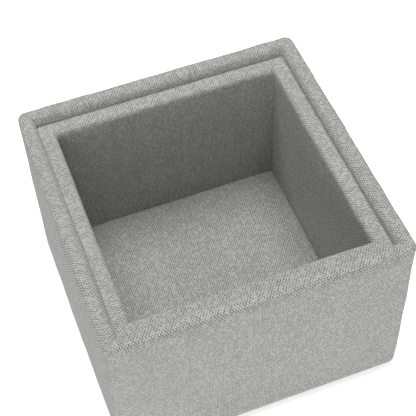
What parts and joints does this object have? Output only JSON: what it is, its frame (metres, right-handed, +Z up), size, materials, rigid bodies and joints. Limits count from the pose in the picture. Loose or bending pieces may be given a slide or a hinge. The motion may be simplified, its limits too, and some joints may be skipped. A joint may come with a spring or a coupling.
{
  "type": "storage ottoman",
  "caption": "Square storage ottoman upholstered in light grey tweed, with a raised rim, an inner ledge and a lift-off cushion lid lying beside it.",
  "frame": {"origin": "on the floor, half way between the middle of the box, on the -X side, and the middle of its lid, which lies on the +X side", "axes": "+Z up, -Y out of the front face, +X towards the lid"},
  "size_m": [1.32, 0.5, 0.352],
  "materials": {
    "grey_tweed": "light cool-grey basket-weave tweed",
    "plywood": "raw birch plywood",
    "pine": "raw planed pine",
    "hardboard": "smooth brown hardboard",
    "foam": "cream polyurethane foam, matte",
    "wadding": "white polyester wadding",
    "card": "brown tacking card",
    "dust_cloth": "black spun-bonded cloth",
    "black_plastic": "black moulded plastic",
    "bright_steel": "bright steel wire",
    "zinc_steel": "yellow zinc-plated steel"
  },
  "bodies": {
    "box": {"front_panel": "plywood", "back_panel": "plywood", "left_panel": "plywood", "right_panel": "plywood", "corner_post_front_left": "pine", "corner_post_front_right": "pine", "corner_post_back_left": "pine", "corner_post_back_right": "pine", "ledge_rail_front": "pine", "ledge_rail_back": "pine", "ledge_rail_left": "pine", "ledge_rail_right": "pine", "base_rail_front": "pine", "base_rail_back": "pine", "base_rail_left": "pine", "base_rail_right": "pine", "bottom_panel": "plywood", "lining_board_front": "hardboard", "lining_board_back": "hardboard", "lining_board_left": "hardboard", "lining_board_right": "hardboard", "wall_foam": "foam", "rim_foam": "foam", "ledge_wadding": "wadding", "tack_strips": "card", "cover_front": "grey_tweed", "cover_back": "grey_tweed", "cover_left": "grey_tweed", "cover_right": "grey_tweed", "lining_front": "grey_tweed", "lining_back": "grey_tweed", "lining_left": "grey_tweed", "lining_right": "grey_tweed", "floor_wadding": "wadding", "floor_lining": "grey_tweed", "dust_cover": "dust_cloth", "dust_cover_staples": "bright_steel", "glides": "black_plastic", "glide_nails": "bright_steel", "panel_screws": "zinc_steel", "bottom_screws": "zinc_steel"},
    "lid": {"lid_board": "plywood", "lid_foam": "foam", "lid_cover_top": "grey_tweed", "lid_border_front": "grey_tweed", "lid_border_back": "grey_tweed", "lid_border_left": "grey_tweed", "lid_border_right": "grey_tweed", "locating_batten_front": "pine", "locating_batten_back": "pine", "locating_batten_left": "pine", "locating_batten_right": "pine", "locating_cover": "grey_tweed", "locating_screws": "zinc_steel", "lid_staples": "bright_steel"}
  },
  "joints": [
    {"name": "lid_swing", "type": "hinge", "parent": "box", "child": "lid", "pos_m": [0, 0, 0.2215], "axis": [0, -1, 0], "range_deg": [0, 180]}
  ]
}
